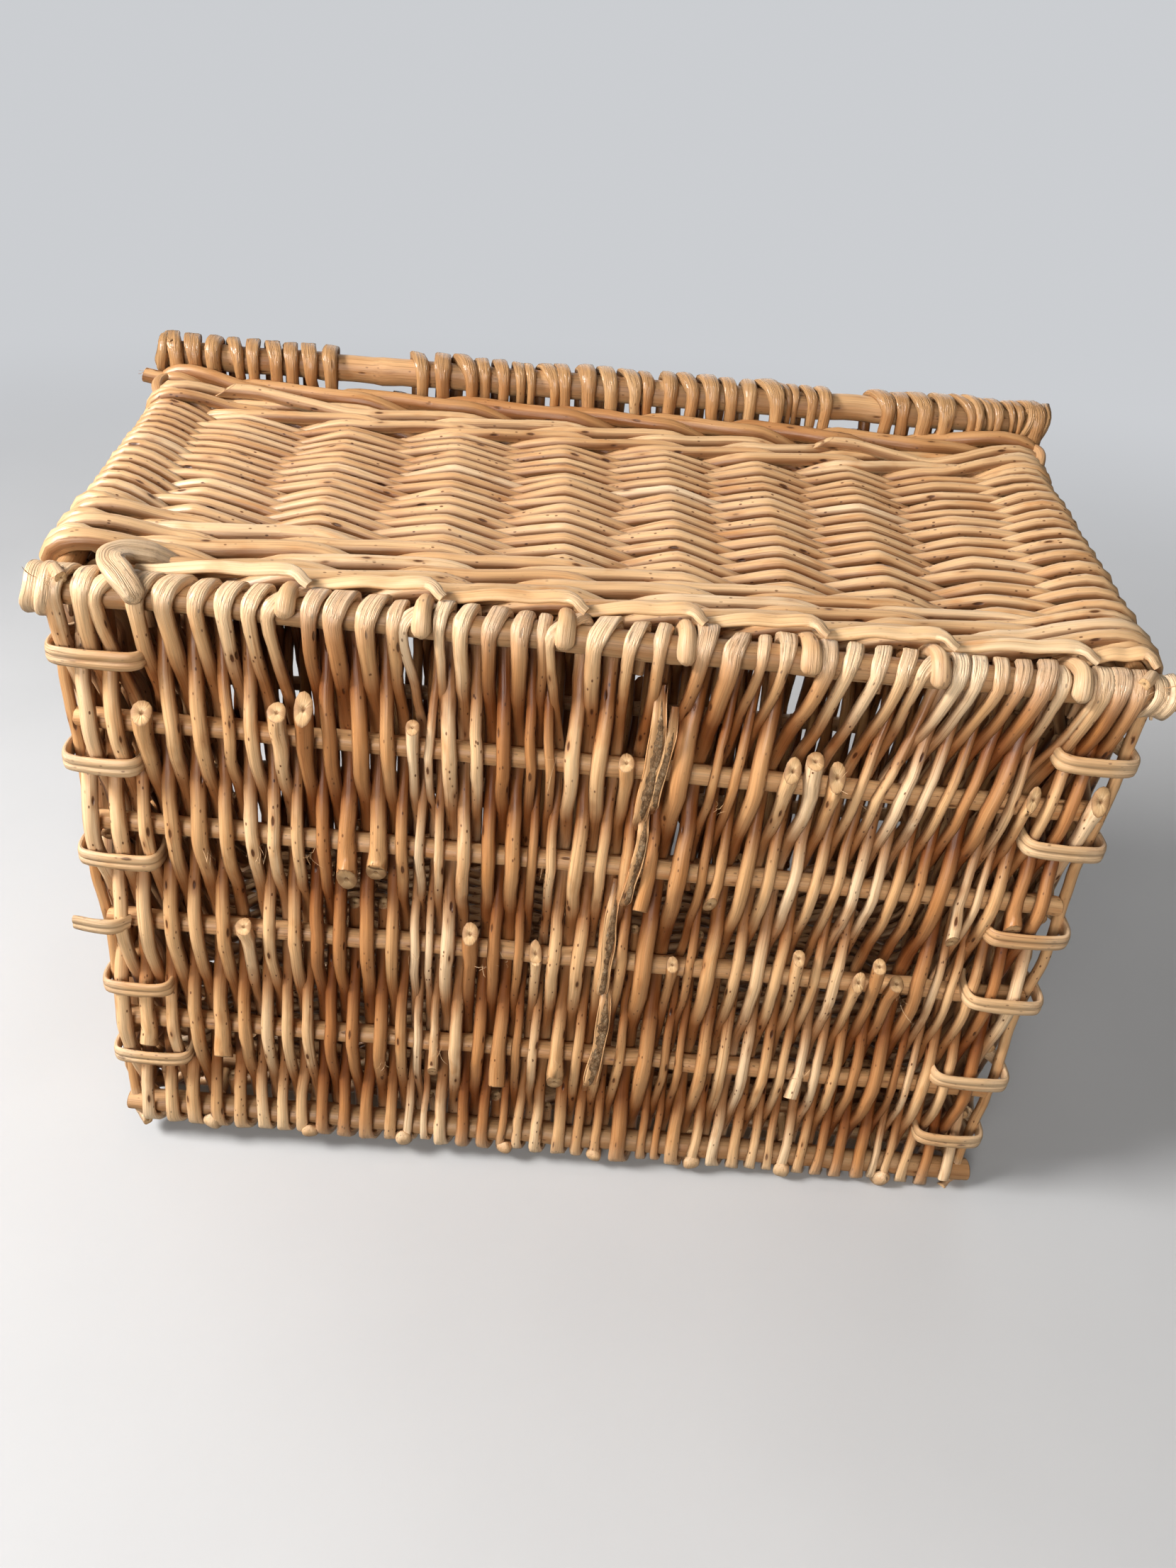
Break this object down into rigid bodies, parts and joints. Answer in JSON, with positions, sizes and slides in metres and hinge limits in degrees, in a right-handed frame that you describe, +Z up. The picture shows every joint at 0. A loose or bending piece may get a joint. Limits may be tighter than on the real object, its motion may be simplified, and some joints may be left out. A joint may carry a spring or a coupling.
{
  "type": "wicker picnic basket",
  "caption": "Rectangular woven willow picnic hamper with flaring walls, a stick-framed woven base, a thick rod border and an overhanging woven lid hinged along the back.",
  "frame": {"origin": "middle of the footprint, on the ground the basket stands on", "axes": "+Z up through the lid, +X along the length, the front long wall faces -Y and the lid hinges along +Y"},
  "size_m": [0.642, 0.471, 0.3462],
  "materials": {
    "weavers": "satin",
    "waling_rods": "satin",
    "border_rods": "satin",
    "sticks": "satin",
    "sliced_willow": "satin",
    "hinge_willow": "satin",
    "stakes": "satin"
  },
  "bodies": {
    "basket": {"back_scallom_tails": "sliced_willow", "back_stakes": "stakes", "base_inner_stick_1": "sticks", "base_inner_stick_2": "sticks", "base_inner_stick_3": "sticks", "base_inner_stick_4": "sticks", "base_outer_stick_back": "sticks", "base_outer_stick_front": "sticks", "base_weave": "weavers", "border_back": "border_rods", "border_front": "border_rods", "border_left": "border_rods", "border_right": "border_rods", "bottom_wale_back": "waling_rods", "bottom_wale_front": "waling_rods", "bottom_wale_left": "waling_rods", "bottom_wale_right": "waling_rods", "corner_post_back_left": "stakes", "corner_post_back_right": "stakes", "corner_post_front_left": "stakes", "corner_post_front_right": "stakes", "front_scallom_tails": "sliced_willow", "front_stakes": "stakes", "hinge_ring_left": "hinge_willow", "hinge_ring_right": "hinge_willow", "left_end_stakes": "stakes", "right_end_stakes": "stakes", "top_wale_back": "waling_rods", "top_wale_front": "waling_rods", "top_wale_left": "waling_rods", "top_wale_right": "waling_rods", "wall_weave_back": "weavers", "wall_weave_front": "weavers", "wall_weave_left": "weavers", "wall_weave_right": "weavers"},
    "lid": {"lid_inner_stick_1": "sticks", "lid_inner_stick_2": "sticks", "lid_inner_stick_3": "sticks", "lid_inner_stick_4": "sticks", "lid_outer_stick_back": "sticks", "lid_outer_stick_front": "sticks", "lid_weave": "weavers"}
  },
  "joints": [
    {"name": "lid_hinge", "type": "hinge", "parent": "basket", "child": "lid", "pos_m": [0, 0.221, 0.333], "axis": [-1, 0, 0], "range_deg": [0, 225]}
  ]
}
